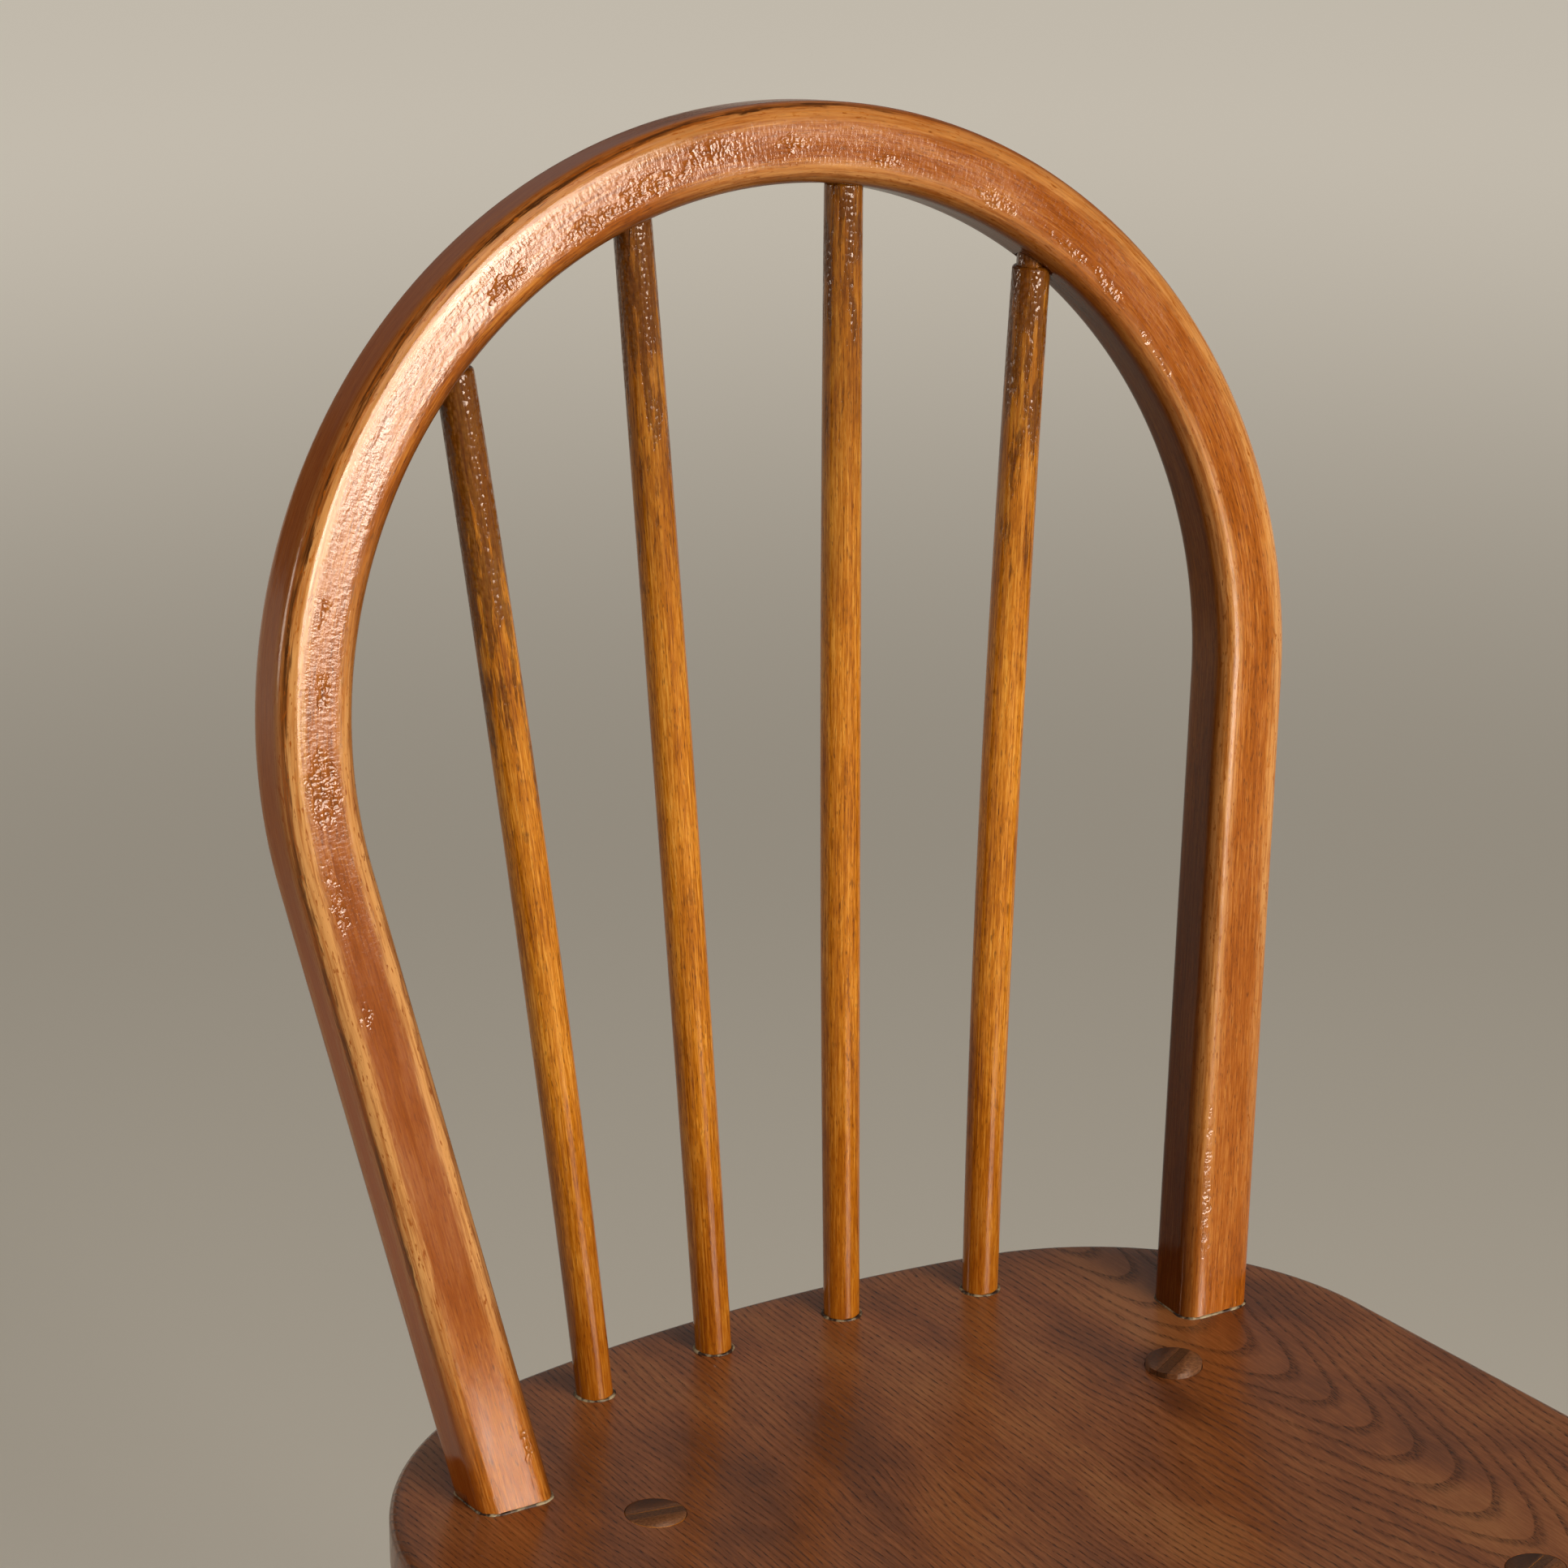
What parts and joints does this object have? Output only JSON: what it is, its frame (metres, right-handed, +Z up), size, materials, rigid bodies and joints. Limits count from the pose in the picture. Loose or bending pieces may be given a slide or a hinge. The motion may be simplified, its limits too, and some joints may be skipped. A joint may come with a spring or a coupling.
{
  "type": "hoop back chair",
  "caption": "Wooden dining chair with a bent hoop back, upright spindles, a shaped solid seat, splayed legs wedged through the seat and turned stretchers.",
  "frame": {"origin": "on the floor, under the middle of the chair's box", "axes": "+Z up, the chair faces -Y, +X to the right as seen from the front"},
  "size_m": [0.4072, 0.3987, 0.8594],
  "materials": {
    "seat_elm": "stained elm, satin varnish, open pores",
    "hoop_beech": "stained steam-bent beech, old glossy varnish worn along the edges",
    "spindle_beech": "stained turned beech, old glossy varnish",
    "leg_beech": "stained turned beech, old glossy varnish",
    "wedge_hardwood": "stained hardwood end grain, satin varnish"
  },
  "bodies": {
    "root": {"hoop": "hoop_beech", "hoop_wedge_left": "wedge_hardwood", "hoop_wedge_right": "wedge_hardwood", "leg_front_left": "leg_beech", "leg_front_right": "leg_beech", "leg_rear_left": "leg_beech", "leg_rear_right": "leg_beech", "leg_wedge_front_left": "wedge_hardwood", "leg_wedge_front_right": "wedge_hardwood", "leg_wedge_rear_left": "wedge_hardwood", "leg_wedge_rear_right": "wedge_hardwood", "seat": "seat_elm", "spindle_left_inner": "spindle_beech", "spindle_left_outer": "spindle_beech", "spindle_right_inner": "spindle_beech", "spindle_right_outer": "spindle_beech", "stretcher_cross": "leg_beech", "stretcher_left": "leg_beech", "stretcher_right": "leg_beech"}
  },
  "joints": []
}
